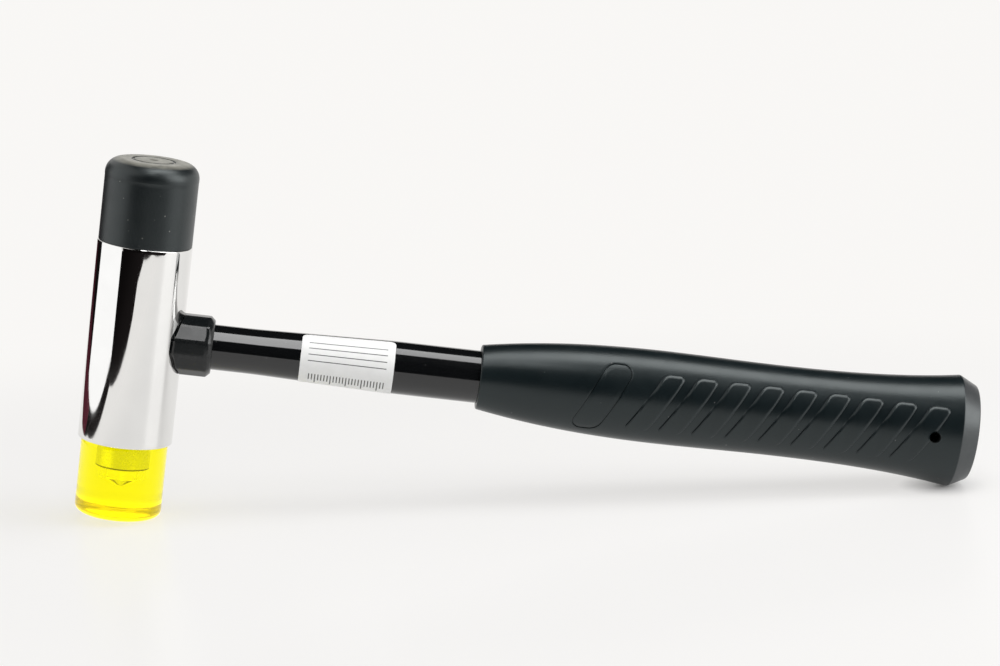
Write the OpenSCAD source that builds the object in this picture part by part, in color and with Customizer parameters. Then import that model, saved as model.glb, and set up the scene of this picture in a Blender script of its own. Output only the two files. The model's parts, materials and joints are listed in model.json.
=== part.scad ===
// Soft face hammer with a steel barrel, screw-on striking faces and a tubular handle.
// Everything is drawn in the hammer's own axes, where the head's axis is Z with the black face up,
// the handle runs along X and both axes cross at the origin. The last step lays it at rest on a floor.

/* [Head] */
// Diameter of the steel barrel
head_d = 32; // [28:0.5:38]
// Length of the steel barrel
barrel_l = 68; // [60:1:80]
// Height of the handle's axis above the middle of the barrel
eye_rise = 0.9; // [0:0.1:3]
// Chamfer round both ends of the barrel
barrel_chamfer = 0.6; // [0.2:0.1:1.2]

/* [Studs] */
// Diameter of the stud that holds each face
stud_d = 12; // [8:0.5:14]
// Length of the stud inside the barrel
stud_in_head = 14; // [10:0.5:18]
// Length of the stud inside the face
stud_in_face = 9.4; // [6:0.2:12]
// Chamfer on the stud's ends
stud_chamfer = 1; // [0.4:0.1:1.6]

/* [Black face] */
// Diameter of the rubber face
black_d = 31.6; // [28:0.2:38]
// Length of the rubber face
black_l = 28; // [20:0.5:36]
// Radius round its striking edge
black_edge_r = 5; // [2:0.5:8]
// Diameter of the moulded ring on its striking end
ring_d = 14; // [8:0.5:18]
// Width of that ring's groove
ring_w = 0.8; // [0.4:0.1:1.5]
// Depth of that ring's groove
ring_depth = 0.4; // [0.2:0.1:1]
// Wall of the threaded bush inside the rubber
core_wall = 2.5; // [1.5:0.1:4]
// Width of the flange that anchors the bush
core_lip = 2.5; // [1:0.1:4]
// Thickness of that flange
core_lip_t = 3; // [1.5:0.1:5]

/* [Yellow face] */
// Diameter of the plastic face
yellow_d = 29.4; // [26:0.2:32]
// Length of the plastic face
yellow_l = 26; // [18:0.5:34]
// Radius round its striking edge
yellow_edge_r = 2.5; // [1:0.1:4]

/* [Collar] */
// Number of the collar's flats
collar_sides = 12; // [6:2:12]
// Size of the collar across its flats
collar_af = 20.4; // [18:0.2:26]
// How far the collar stands out of the barrel
collar_l = 10.3; // [6:0.1:16]
// Chamfer on the collar's open end
collar_chamfer = 1.2; // [0.4:0.1:2]
// How much flatter the collar's saddle is than the barrel, as the difference of their radii
saddle_ease = 6; // [0:0.5:10]

/* [Tube] */
// Diameter of the tube at the head
tube_neck_d = 15.4; // [13:0.2:17]
// Diameter of the tube at the grip
tube_d = 18; // [17.2:0.2:19]
// Wall of the tube
tube_wall = 1.4; // [1:0.1:2]
// Depth of the blind eye past the head's axis
eye_depth = 10; // [6:0.5:12]
// Distance from the head's axis to where the taper starts
taper_start = 40; // [34:1:50]
// Distance from the head's axis to where the taper ends
taper_end = 88; // [76:1:108]
// Length of the steel plug in the tube's head end
core_plug_l = 24; // [14:1:30]

/* [Label] */
// Distance from the label's front edge to the middle of the bare tube behind it
label_start = 15.6; // [7.6:0.1:27.6]
// Length of the label along the tube
label_l = 31.7; // [20:0.1:40]
// Arc of the label round the tube
label_arc = 205; // [120:5:300]
// How far the label's upper edge stays below the top of the tube, as an angle
label_drop = 10; // [0:1:40]
// Thickness of the label
label_t = 0.15; // [0.1:0.01:0.3]

/* [Grip] */
// Distance from the head's axis to the butt end of the grip
handle_l = 288.2; // [270:0.2:320]
// Length of the grip
grip_l = 171.2; // [150:0.2:176]
// Height of the grip at its front
grip_front_h = 22; // [21:0.2:26]
// Height of the grip at its belly
belly_h = 32.2; // [28:0.2:36]
// Distance from the grip's front to its belly
belly_at = 63; // [50:1:72]
// Height of the grip at its waist
waist_h = 31.4; // [27:0.2:35]
// Distance from the grip's front to its waist
waist_at = 101; // [88:1:112]
// Height of the flared pommel
pommel_h = 38.9; // [34:0.2:44]
// Height of the grip's butt end
butt_h = 32.5; // [28:0.2:36]
// Length of the bevel from the pommel to the butt end
bevel_l = 6.2; // [3:0.2:9]
// Rise of the grip's outline per millimetre where it leaves the front
front_slope = 0.185; // [0.05:0.005:0.25]
// Rise of the grip's outline per millimetre at the pommel
pommel_slope = 0.15; // [0.05:0.005:0.25]
// Width of the oval grip as a share of its height
grip_flatness = 0.86; // [0.8:0.01:0.95]
// How much less round the front of the grip is than it is high
neck_step = 0.8; // [0.2:0.1:1]
// Chamfer round the front of the grip
grip_chamfer = 0.5; // [0.2:0.1:0.8]
// Length of solid grip behind the tube
butt_cover = 26; // [20:0.5:34]
// Diameter of the hang hole
hang_d = 3.8; // [2:0.1:5]
// Distance from the hang hole to the butt end
hang_from_end = 15.3; // [11:0.1:17]

/* [Pads] */
// Number of raised pads on each side of the grip
pad_count = 9; // [3:1:9]
// Distance from one pad to the next
pad_pitch = 11.4; // [9.6:0.1:11.6]
// Width of a pad along the handle
pad_w = 7.6; // [5:0.1:8.4]
// Height of a pad across the handle
pad_h = 20.6; // [14:0.2:22]
// Angle of the pads to the handle
pad_slant = 60; // [50:1:80]
// How far the pads stand out
pad_raise = 0.6; // [0.3:0.1:1]
// Radius of a pad's sharp corners
pad_tight_r = 1; // [0.4:0.1:1.6]
// Radius of a pad's blunt corners
pad_wide_r = 2.6; // [1:0.1:3.4]
// Distance from the last pad's middle to the butt end
pads_from_end = 20.1; // [18:0.1:24]

/* [Outlined panel] */
// Width of the outlined panel along the handle
panel_w = 10.4; // [7:0.1:11]
// Height of the outlined panel across the handle
panel_h = 23.6; // [16:0.2:24]
// Angle of the panel to the handle
panel_slant = 64; // [55:1:80]
// Distance from the grip's front to the panel's middle
panel_at = 41.8; // [36:0.2:44]
// Radius of the panel's sharp corners
panel_tight_r = 3; // [1:0.1:3.6]
// Radius of the panel's blunt corners
panel_wide_r = 5; // [2:0.1:5.4]
// Width of the groove that outlines the panel
groove_w = 0.6; // [0.4:0.1:1]
// Depth of that groove
groove_depth = 0.5; // [0.3:0.1:0.8]

/* [Hidden] */
$fn = 96;

// Fits
running_gap = 0.05;
moulded_gap = 0.02;
end_gap = 0.2;
// Half the angle of a drill's point
drill_half_angle = 59;
// Overcut of a hole past the face that it opens in
overcut = 1;
// Plastic plug in the tube's butt end
end_plug_flange_t = 2;
end_plug_l = 10;
// Straight pieces that stand for the grip's curved outline, and for each rounded corner
outline_steps = 28;
corner_steps = 5;

// The barrel's two ends, measured from the handle's axis
barrel_top = barrel_l / 2 - eye_rise;
barrel_bottom = barrel_l / 2 + eye_rise;
head_r = head_d / 2;
stud_r = stud_d / 2;
stud_hole_r = stud_r + running_gap;

// Radii of the tube, and of what holds it
tube_neck_r = tube_neck_d / 2;
tube_r = tube_d / 2;
eye_r = tube_neck_r + running_gap;
tube_end = handle_l - butt_cover;

// Places along the grip, measured from the head's axis
grip_start = handle_l - grip_l;
belly_x = grip_start + belly_at;
waist_x = grip_start + waist_at;
pommel_x = handle_l - bevel_l;
grip_reach = pommel_h;
neck_r = grip_front_h / 2 - neck_step / 2;
neck_l = 13;

// The label lies on the bare tube between the collar and the grip
collar_reach = head_r + collar_l;
label_front = (collar_reach + grip_start) / 2 - label_start;
label_back = label_front + label_l;

// Knots of the grip's outline: place, half height and slope
outline_knots = [[grip_start, grip_front_h / 2, front_slope],
                 [belly_x, belly_h / 2, 0],
                 [waist_x, waist_h / 2, 0],
                 [pommel_x, pommel_h / 2, pommel_slope]];

// Middle of the round edge on which the yellow face stands, in the plane of the two axes
foot_x = yellow_d / 2 - yellow_edge_r;
foot_z = -(barrel_bottom + yellow_l - yellow_edge_r);
// From there to the pommel's lowest point
to_pommel = [pommel_x - foot_x, -pommel_h / 2 - foot_z];
// The floor touches the yellow face's edge and the pommel
rest_tilt = atan2(to_pommel.y, to_pommel.x) + asin(yellow_edge_r / norm(to_pommel));
floor_drop = foot_x * sin(rest_tilt) - foot_z * cos(rest_tilt) + yellow_edge_r;
// Reach of the tilted hammer to both sides
left_reach = min(-foot_x * cos(rest_tilt) + foot_z * sin(rest_tilt) - yellow_edge_r,
                 -head_r * cos(rest_tilt) - (barrel_bottom - barrel_chamfer) * sin(rest_tilt));
right_reach = max(handle_l * cos(rest_tilt) + butt_h / 2 * sin(rest_tilt),
                  pommel_x * cos(rest_tilt) + pommel_h / 2 * sin(rest_tilt));

// Outer radius of the tube at a distance from the head's axis
function tube_radius(x) = lookup(x, [[taper_start, tube_neck_r], [taper_end, tube_r]]);

// Cubic between two knots that keeps their slopes
function cubic(a, b, t) =
    let (span = b[0] - a[0])
    (2 * t ^ 3 - 3 * t ^ 2 + 1) * a[1] + (t ^ 3 - 2 * t ^ 2 + t) * span * a[2]
    + (3 * t ^ 2 - 2 * t ^ 3) * b[1] + (t ^ 3 - t ^ 2) * span * b[2];

// Half height of the grip at a distance from the head's axis
function grip_half_height(x) =
    let (i = x < belly_x ? 0 : x < waist_x ? 1 : 2,
         a = outline_knots[i],
         b = outline_knots[i + 1])
    cubic(a, b, (x - a[0]) / (b[0] - a[0]));

// Outline of a closed polygon with each corner rounded by its own radius
function rounded(corners, radii) = [
    for (i = [0 : len(corners) - 1])
        let (n = len(corners),
             here = corners[i],
             back = corners[(i + n - 1) % n] - here,
             ahead = corners[(i + 1) % n] - here,
             u = back / norm(back),
             v = ahead / norm(ahead),
             half = acos(u * v) / 2,
             middle = here + (u + v) / norm(u + v) * radii[i] / sin(half),
             from = here + u * radii[i] / tan(half) - middle,
             turn = 180 - 2 * half,
             first = atan2(from.y, from.x))
        for (j = [0 : corner_steps])
            middle + radii[i] * [cos(first + turn * j / corner_steps), sin(first + turn * j / corner_steps)]
];

// Leaning parallelogram with two sharp and two blunt rounded corners
function leaning_panel(w, h, slant, tight_r, wide_r) =
    let (lean = h / 2 / tan(slant))
    rounded([[-w / 2 - lean, -h / 2], [w / 2 - lean, -h / 2], [w / 2 + lean, h / 2], [-w / 2 + lean, h / 2]],
            [tight_r, wide_r, tight_r, wide_r]);

// Lays the upright hammer down on its yellow face and pommel, centred over the origin
module at_rest() {
    translate([-(left_reach + right_reach) / 2, 0, floor_drop]) rotate([0, rest_tilt, 0]) children();
}

// Turns a shape that stands along Z so that it lies along the handle
module along_handle() {
    rotate([0, 90, 0]) children();
}

// Extrudes an outline drawn in the plane of the two axes right through the grip
module across_grip() {
    rotate([90, 0, 0]) linear_extrude(2 * grip_reach, center = true) children();
}

// Places a face that is drawn upwards from its seat on the upper end of the barrel
module on_top() {
    translate([0, 0, barrel_top]) children();
}

// Places a face that is drawn upwards from its seat on the lower end of the barrel
module on_bottom() {
    translate([0, 0, -barrel_bottom]) rotate([180, 0, 0]) children();
}

// Blind hole with a drill point, opening upwards at the origin
module drilled_hole(r, depth) {
    translate([0, 0, -depth]) cylinder(h = depth + overcut, r = r);
    translate([0, 0, -depth - r / tan(drill_half_angle)])
        cylinder(h = r / tan(drill_half_angle), r1 = 0, r2 = r);
}

// Half section of a round block with a rounded upper edge
module edged_section(r, l, edge) {
    square([r - edge, l]);
    square([r, l - edge]);
    translate([r - edge, l - edge]) circle(edge);
}

// Solid of revolution along the handle between the axis and an outline of [distance, radius] points
module turned(points) {
    along_handle()
        rotate_extrude()
            polygon(concat([[0, points[0].x]],
                           [for (p = points) [p.y, p.x]],
                           [[0, points[len(points) - 1].x]]));
}

module head_body() {
    color("silver") at_rest() difference() {
        rotate_extrude() polygon([[0, -barrel_bottom],
                                  [head_r - barrel_chamfer, -barrel_bottom],
                                  [head_r, -barrel_bottom + barrel_chamfer],
                                  [head_r, barrel_top - barrel_chamfer],
                                  [head_r - barrel_chamfer, barrel_top],
                                  [0, barrel_top]]);
        translate([-eye_depth, 0, 0]) along_handle() cylinder(h = eye_depth + head_d, r = eye_r);
        on_top() drilled_hole(stud_hole_r, stud_in_head + end_gap);
        on_bottom() drilled_hole(stud_hole_r, stud_in_head + end_gap);
    }
}

// Faceted sleeve with a turned chamfer on its open end. Its saddle meets the barrel at the top and bottom
// and stands a little open at both sides.
module handle_collar() {
    half_side_angle = 180 / collar_sides;
    corner_r = collar_af / 2 / cos(half_side_angle);
    mouth_r = collar_af / 2 - collar_chamfer;
    clear_r = corner_r + overcut;
    color("#2b2c2e") at_rest() difference() {
        intersection() {
            along_handle() rotate([0, 0, half_side_angle])
                cylinder(h = collar_reach, r = corner_r, $fn = collar_sides);
            turned([[-overcut, clear_r],
                    [collar_reach - (clear_r - mouth_r), clear_r],
                    [collar_reach, mouth_r]]);
        }
        translate([-saddle_ease, 0, 0])
            cylinder(h = barrel_l, r = head_r + saddle_ease + moulded_gap, center = true);
        along_handle() cylinder(h = collar_reach + overcut, r = eye_r);
    }
}

// Swaged tube, slim at the head and wider at the grip
module handle_tube() {
    color("#161618") at_rest() difference() {
        turned([[-eye_depth, tube_neck_r],
                [taper_start, tube_neck_r],
                [taper_end, tube_r],
                [tube_end, tube_r]]);
        turned([[-eye_depth - overcut, tube_neck_r - tube_wall],
                [taper_start, tube_neck_r - tube_wall],
                [taper_end, tube_r - tube_wall],
                [tube_end + overcut, tube_r - tube_wall]]);
    }
}

module tube_core_plug() {
    color("#8a8c8e") at_rest()
        turned([[-eye_depth, tube_neck_r - tube_wall - moulded_gap],
                [core_plug_l - eye_depth, tube_neck_r - tube_wall - moulded_gap]]);
}

module tube_end_plug() {
    color("#3c3c3e") at_rest()
        turned([[tube_end - end_plug_l, tube_r - tube_wall - moulded_gap],
                [tube_end, tube_r - tube_wall - moulded_gap],
                [tube_end, tube_r],
                [tube_end + end_plug_flange_t, tube_r]]);
}

// Oval body of the grip, grown outwards or inwards by an amount
module oval_body(grow) {
    run = pommel_x - grip_start;
    side = [for (i = [0 : outline_steps])
                let (x = grip_start + run * i / outline_steps)
                [x, grip_half_height(x) + grow]];
    scale([1, grip_flatness, 1])
        turned(concat([[grip_start, grip_front_h / 2 - grip_chamfer + grow]],
                      [[grip_start + grip_chamfer, side[0].y]],
                      [for (i = [1 : outline_steps]) side[i]],
                      [[handle_l, butt_h / 2 + grow]]));
}

// Outlines of the raised pads, from the butt end forwards
module pad_outlines() {
    for (i = [0 : pad_count - 1])
        translate([handle_l - pads_from_end - i * pad_pitch, 0])
            polygon(leaning_panel(pad_w, pad_h, pad_slant, pad_tight_r, pad_wide_r));
}

// Closed line of the groove round the outlined panel
module panel_groove_outline() {
    translate([grip_start + panel_at, 0]) difference() {
        polygon(leaning_panel(panel_w, panel_h, panel_slant, panel_tight_r, panel_wide_r));
        polygon(leaning_panel(panel_w - 2 * groove_w / sin(panel_slant), panel_h - 2 * groove_w, panel_slant,
                              panel_tight_r - groove_w, panel_wide_r - groove_w));
    }
}

// Oval grip with a round neck, raised pads, an outlined panel and a flared, bevelled pommel
module grip() {
    color("#242628") at_rest() difference() {
        union() {
            oval_body(0);
            turned([[grip_start, neck_r - grip_chamfer],
                    [grip_start + grip_chamfer, neck_r],
                    [grip_start + neck_l, neck_r]]);
            intersection() {
                oval_body(pad_raise);
                across_grip() pad_outlines();
            }
        }
        difference() {
            across_grip() panel_groove_outline();
            oval_body(-groove_depth);
        }
        turned([[grip_start - overcut, tube_r + running_gap],
                [tube_end + end_plug_flange_t, tube_r + running_gap]]);
        translate([handle_l - hang_from_end, 0, 0])
            rotate([90, 0, 0]) cylinder(h = 2 * grip_reach, r = hang_d / 2, center = true);
    }
}

// Paper label laid on the taper of the tube, on the side and underside
module label() {
    stations = concat([label_front],
                      [for (x = [taper_start, taper_end]) if (x > label_front && x < label_back) x],
                      [label_back]);
    inner = [for (x = stations) [tube_radius(x) + moulded_gap, x]];
    outer = [for (i = [len(inner) - 1 : -1 : 0]) inner[i] + [label_t, 0]];
    color("white") at_rest() along_handle()
        rotate([0, 0, 180 + label_drop]) rotate_extrude(angle = label_arc) polygon(concat(inner, outer));
}

// Stud that stands half in the barrel and half in its face, with chamfered ends
module face_stud() {
    rotate_extrude() polygon([[0, -stud_in_head],
                              [stud_r - stud_chamfer, -stud_in_head],
                              [stud_r, -stud_in_head + stud_chamfer],
                              [stud_r, stud_in_face - stud_chamfer],
                              [stud_r - stud_chamfer, stud_in_face],
                              [0, stud_in_face]]);
}

// Half section of the threaded bush and its anchor flange, grown outwards by an amount
module core_section(grow) {
    height = stud_in_face + core_lip_t;
    square([stud_hole_r + core_wall + grow, height + grow]);
    translate([0, height - core_lip_t - grow])
        square([stud_hole_r + core_wall + core_lip + grow, core_lip_t + 2 * grow]);
}

module black_face() {
    color("#1d1d1f") at_rest() on_top() difference() {
        rotate_extrude() edged_section(black_d / 2, black_l, black_edge_r);
        rotate_extrude() core_section(moulded_gap);
        translate([0, 0, black_l - ring_depth]) difference() {
            cylinder(h = ring_depth + overcut, d = ring_d + ring_w);
            translate([0, 0, -overcut]) cylinder(h = ring_depth + 3 * overcut, d = ring_d - ring_w);
        }
    }
}

module black_face_core() {
    color("#6f7072") at_rest() on_top() difference() {
        rotate_extrude() core_section(0);
        translate([0, 0, -overcut]) cylinder(h = stud_in_face + end_gap + overcut, r = stud_hole_r);
    }
}

module black_face_stud() {
    color("#9a9c9e") at_rest() on_top() face_stud();
}

module yellow_face() {
    color("gold", 0.75) at_rest() on_bottom() difference() {
        rotate_extrude() edged_section(yellow_d / 2, yellow_l, yellow_edge_r);
        rotate([180, 0, 0]) drilled_hole(stud_hole_r, stud_in_face + end_gap);
    }
}

module yellow_face_stud() {
    color("#9a9c9e") at_rest() on_bottom() face_stud();
}

head_body();
handle_collar();
handle_tube();
tube_core_plug();
tube_end_plug();
grip();
label();
black_face();
black_face_core();
black_face_stud();
yellow_face();
yellow_face_stud();
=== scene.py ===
"""Looks of a soft face hammer: a chromed barrel with a black rubber face and a clear yellow face screwed to
its ends, a faceted collar, a painted tube, a paper label and a moulded grip with slanted raised pads.

Shapes are worked out in the hammer's own axes, in millimetres. The head's axis is z with the black face up,
the handle runs along x, and both cross at the origin. in_place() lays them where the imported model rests.
"""

import json

import bmesh
import bpy
import numpy as np
from mathutils import Matrix


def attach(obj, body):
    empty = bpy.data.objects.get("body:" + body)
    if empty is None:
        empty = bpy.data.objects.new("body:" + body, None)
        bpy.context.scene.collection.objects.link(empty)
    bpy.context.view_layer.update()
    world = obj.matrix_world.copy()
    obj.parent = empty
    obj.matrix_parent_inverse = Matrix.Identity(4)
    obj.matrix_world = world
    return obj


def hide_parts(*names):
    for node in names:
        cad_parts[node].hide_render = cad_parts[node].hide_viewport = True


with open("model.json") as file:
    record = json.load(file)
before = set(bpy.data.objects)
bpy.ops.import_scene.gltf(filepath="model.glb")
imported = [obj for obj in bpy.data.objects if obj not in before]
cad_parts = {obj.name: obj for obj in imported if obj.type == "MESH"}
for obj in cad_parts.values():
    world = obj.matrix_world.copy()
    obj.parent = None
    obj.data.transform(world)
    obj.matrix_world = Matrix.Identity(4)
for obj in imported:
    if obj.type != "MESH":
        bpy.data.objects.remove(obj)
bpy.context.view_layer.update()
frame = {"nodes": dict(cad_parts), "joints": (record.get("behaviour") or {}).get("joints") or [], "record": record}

MM = 0.001
WELD = 2e-6
COLUMNS = 128
TURN = 2 * np.pi

# Barrel
BARREL_R = 16.0
BARREL_TOP = 33.1
BARREL_BOTTOM = 34.9
BARREL_EDGE_R = 0.3
EYE_DEPTH = 10.0
EYE_R = 7.75

# Studs and the holes that they sit in
STUD_R = 6.0
STUD_IN_HEAD = 14.0
STUD_IN_FACE = 9.4
STUD_CHAMFER = 1.0
FACE_END_CHAMFER = 0.3
STUD_HOLE_R = 6.05
HOLE_END_GAP = 0.2
DRILL_HALF_ANGLE = np.radians(59)
STUD_ROWS = 240
THREAD_PITCH = 1.75
THREAD_DEPTH = 0.85
THREAD_STARTS = 0.6
THREAD_FULL = 2.0
FLANK_SLOPE = 1.5
DARK_RING_FROM = 0.35
DARK_RING_FULL = 0.15

# Black face. Its lip is [place, radius] from the seat's corner, its dimple [depth, radius] at the far end.
BLACK_R = 15.8
BLACK_L = 28.0
BLACK_EDGE_R = 5.0
PARTING_STEP = 0.05
PARTING_W = 0.5
BLACK_LIP = np.array([[0, -0.2], [0.1, -0.08], [0.35, -PARTING_STEP], [0.6, -PARTING_STEP]])
DIMPLE = np.array([[0, 1.5], [0.12, 1.3], [0.3, 0.9], [0.35, 0]])
RING_R = 7.0
RING_W = 0.8
RING_DEPTH = 0.4
RING_EASE = 0.1
CORE_R = 8.57
CORE_FLANGE_R = 11.07
CORE_FLANGE_FROM = 9.38
CORE_FLANGE_TO = 12.42

# Yellow face
YELLOW_R = 14.7
YELLOW_L = 26.0
YELLOW_EDGE_R = 2.5
SEAT_GAP = 0.03
SEAT_EASE = 0.4
GRIPPED = 0.01
PILOT_R = 5.0
PILOT_L = 3.4

# Collar
COLLAR_SIDES = 12
COLLAR_TURN = np.radians(2.7)
COLLAR_FLAT_R = 10.2
COLLAR_CORNER_R = 2.2
COLLAR_END = 26.3
COLLAR_MOUTH_R = 9.0
COLLAR_EASE = 0.22
SADDLE_EASE = 6.0
SADDLE_GAP = 0.02
SADDLE_LIP = 0.9

# Tube
TUBE_NECK_R = 7.7
TUBE_R = 9.0
TUBE_WALL = 1.4
TAPER_START = 40.0
TAPER_END = 88.0
TUBE_END = 262.2
SWAGE_BLEND_R = 260.0

# Label
LABEL_FRONT = 56.05
LABEL_BACK = 87.75
LABEL_DROP = np.radians(10)
LABEL_ARC = np.radians(205)
LABEL_T = 0.15
LABEL_GAP = 0.02
LABEL_CORNER_R = 2.2
LABEL_COLUMNS = 40
LABEL_ROWS = 90

# Grip
GRIP_FRONT = 117.0
BELLY = 180.0
WAIST = 218.0
POMMEL = 282.0
BUTT = 288.2
FRONT_H, FRONT_SLOPE = 11.0, 0.185
BELLY_H = 16.1
WAIST_H = 15.7
POMMEL_H, POMMEL_SLOPE = 19.45, 0.15
BUTT_H = 16.25
GRIP_FLATNESS = 0.86
NECK_R = 10.6
LIP_R = 0.6
POMMEL_CORNER_R = 0.8
BUTT_CORNER_R = 1.2
BORE_R = 9.05
BORE_END = 264.2
BORE_EASE = 0.2
HANG_X = 272.9
HANG_R = 1.9
HANG_EASE = 0.1

# Grid of the grip's near side. The side band carries the pads, the crowns lie above and below it.
BAND_H = 12.6
BAND_SHARE = 0.86
BAND_ROWS = 40
CROWN_ROWS = 10
FRONT_COLUMNS = 34
PANEL_COLUMNS = 20
GAP_COLUMNS = 5
PAD_COLUMNS = 14
BACK_COLUMNS = 10
LEAN_STARTS = 125
LEAN_FULL = 145

# Raised pads and the outlined panel
PAD_COUNT = 9
PAD_PITCH = 11.4
PAD_W = 7.6
PAD_H = 20.6
PAD_SLANT = np.radians(60)
PAD_RAISE = 0.8
PAD_TIGHT_R = 1.2
PAD_WIDE_R = 3.8
LAST_PAD = 268.1
PANEL_X = 158.8
PANEL_W = 10.4
PANEL_H = 23.6
PANEL_SLANT = np.radians(64)
PANEL_TIGHT_R = 3.0
PANEL_WIDE_R = 5.0
PANEL_REACH = 8.5
NOTCH_DEPTH = 0.55
GROOVE_W = 0.36
GROOVE_DEPTH = 0.3
GROOVE_WALL = 0.06
GROOVE_SHOULDER = 1.2
PAD_WALL = 0.12

# The hammer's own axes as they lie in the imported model
joints = {joint["name"]: joint for joint in frame["joints"]}
mounts = {mount["name"]: mount for mount in frame["record"]["mounts"]}
HEAD_AXIS = np.array(joints["black_face_turn"]["axis"])
ACROSS = np.array([0.0, 1.0, 0.0])
HANDLE_AXIS = np.cross(ACROSS, HEAD_AXIS)
TOP_SEAT = np.array(joints["black_face_turn"]["pos_m"])
HANG_PLACE = np.array(mounts["hang_hole"]["pos_m"])
CROSSING = TOP_SEAT + HEAD_AXIS * ((HANG_PLACE - TOP_SEAT) @ HEAD_AXIS)


def in_place(points):
    """Points of the hammer's own axes, in millimetres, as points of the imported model, in metres."""
    return CROSSING + MM * points @ np.stack([HANDLE_AXIS, ACROSS, HEAD_AXIS])


def smoothstep(value, low, high):
    """0 below low, 1 above high, and the cubic 3t^2 - 2t^3 between them."""
    t = np.clip((value - low) / (high - low), 0, 1)
    return t * t * (3 - 2 * t)


def grid_faces(rows, columns, wrap_rows=False, wrap_columns=False):
    """Quads of a grid whose points run row by row. A wrapped direction joins its last line to its first."""
    row = np.arange(rows if wrap_rows else rows - 1)[:, None]
    column = np.arange(columns if wrap_columns else columns - 1)[None]
    here = row * columns
    ahead = (row + 1) % rows * columns
    beside = (column + 1) % columns
    return np.stack([here + column, here + beside, ahead + beside, ahead + column], -1).reshape(-1, 4)


def joined(parts):
    """Several (points, faces) as one, with each part's faces moved past the points before it."""
    points, faces = zip(*parts)
    starts = np.cumsum([0, *map(len, points)])
    return np.concatenate(points), np.concatenate([part + start for part, start in zip(faces, starts)])


def rounded(corners, radii, steps=8):
    """Closed outline whose corners are arcs. Each arc touches the two sides of its corner, so its middle lies
    on the corner's bisector at radius / sin(half angle). A corner of radius 0 stays a point."""
    corners = np.asarray(corners, float)
    pieces = []
    for i, (here, radius) in enumerate(zip(corners, radii)):
        if radius == 0:
            pieces.append(here[None])
            continue
        back = corners[i - 1] - here
        ahead = corners[(i + 1) % len(corners)] - here
        u = back / np.linalg.norm(back)
        v = ahead / np.linalg.norm(ahead)
        half = np.arccos(np.clip(u @ v, -1, 1)) / 2
        bisector = (u + v) / np.linalg.norm(u + v)
        middle = here + bisector * radius / np.sin(half)
        start = here + u * radius / np.tan(half) - middle
        stop = here + v * radius / np.tan(half) - middle
        side = np.array([-start[1], start[0]])
        sweep = np.arctan2(side @ stop, start @ stop)
        angle = np.linspace(0, sweep, steps + 1)[:, None]
        pieces.append(middle + np.cos(angle) * start + np.sin(angle) * side)
    return np.concatenate(pieces)


def filled(path, step):
    """The path with points added, so that none of its pieces is longer than step."""
    runs = []
    for start, stop in zip(path[:-1], path[1:]):
        count = int(np.ceil(np.linalg.norm(stop - start) / step)) or 1
        runs.append(start + (stop - start) * np.arange(count)[:, None] / count)
    return np.concatenate(runs + [path[-1:]])


def turned(place, radius, axis, closed=False, columns=COLUMNS):
    """Surface of revolution. A profile of places along the axis and radii is carried once round:
    the two cross coordinates are radius * cos and radius * sin of the angle.
    The radius may also differ with the angle, as on a thread."""
    angle = np.arange(columns) * TURN / columns
    radius = np.broadcast_to(np.reshape(radius, (len(place), -1)), (len(place), columns))
    place = np.broadcast_to(place[:, None], radius.shape)
    first = radius * np.cos(angle)
    second = radius * np.sin(angle)
    order = [first, second, place] if axis == "head" else [place, first, second]
    points = np.stack(order, -1).reshape(-1, 3)
    return points, grid_faces(*radius.shape, wrap_rows=closed, wrap_columns=True)


def make_mesh(name, points, faces, marks=None):
    """Mesh with its doubles merged and its faces turned outwards. Marks are values kept on each point, three
    or one that counts for all three."""
    mesh = bpy.data.meshes.new(name)
    mesh.from_pydata(in_place(points).tolist(), [], faces.tolist())
    for mark, values in (marks or {}).items():
        spread = np.broadcast_to(np.reshape(values, (len(points), -1)), points.shape)
        attribute = mesh.attributes.new(mark, "FLOAT_VECTOR", "POINT")
        attribute.data.foreach_set("vector", spread.astype(np.float32).ravel())
    shape = bmesh.new()
    shape.from_mesh(mesh)
    bmesh.ops.remove_doubles(shape, verts=shape.verts, dist=WELD)
    bmesh.ops.recalc_face_normals(shape, faces=shape.faces)
    shape.to_mesh(mesh)
    shape.free()
    return mesh


def make_object(name, data):
    thing = bpy.data.objects.new(name, data)
    bpy.context.scene.collection.objects.link(thing)
    return thing


def make_piece(name, points, faces, marks=None):
    return make_object(name, make_mesh(name, points, faces, marks))


def cut_away(piece, points, faces):
    """Takes a closed shape out of a piece and keeps the evaluated mesh."""
    cutter = make_piece(piece.name + ".cutter", points, faces)
    boolean = piece.modifiers.new("cut", "BOOLEAN")
    boolean.operation = "DIFFERENCE"
    boolean.solver = "EXACT"
    boolean.object = cutter
    depsgraph = bpy.context.evaluated_depsgraph_get()
    whole = piece.data
    cut = bpy.data.meshes.new_from_object(piece.evaluated_get(depsgraph))
    piece.modifiers.clear()
    piece.data = cut
    cut.name = whole.name + ".cut"
    bpy.data.meshes.remove(whole)
    bpy.data.objects.remove(cutter)


def dress(piece, body, node, finish, sharp_angle=38):
    """Smooth shading with sharp folds kept, the finish, and the piece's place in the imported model."""
    piece.data.shade_smooth()
    piece.data.set_sharp_from_angle(angle=np.radians(sharp_angle))
    piece.data.materials.append(finish)
    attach(piece, body)
    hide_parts(node)


def turned_piece(name, path, axis, closed=False):
    """A piece that is one surface of revolution of a path of [place, radius] points."""
    return make_piece(name, *turned(*path.T, axis, closed))


def round_handle(x, radius, angle):
    """Points round the handle's axis. The angle counts from the top towards the near side."""
    return np.stack([x, -radius * np.sin(angle), radius * np.cos(angle)], -1).reshape(-1, 3)


def drill_point(radius):
    """Length of a drill's conical point."""
    return radius / np.tan(DRILL_HALF_ANGLE)


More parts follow.
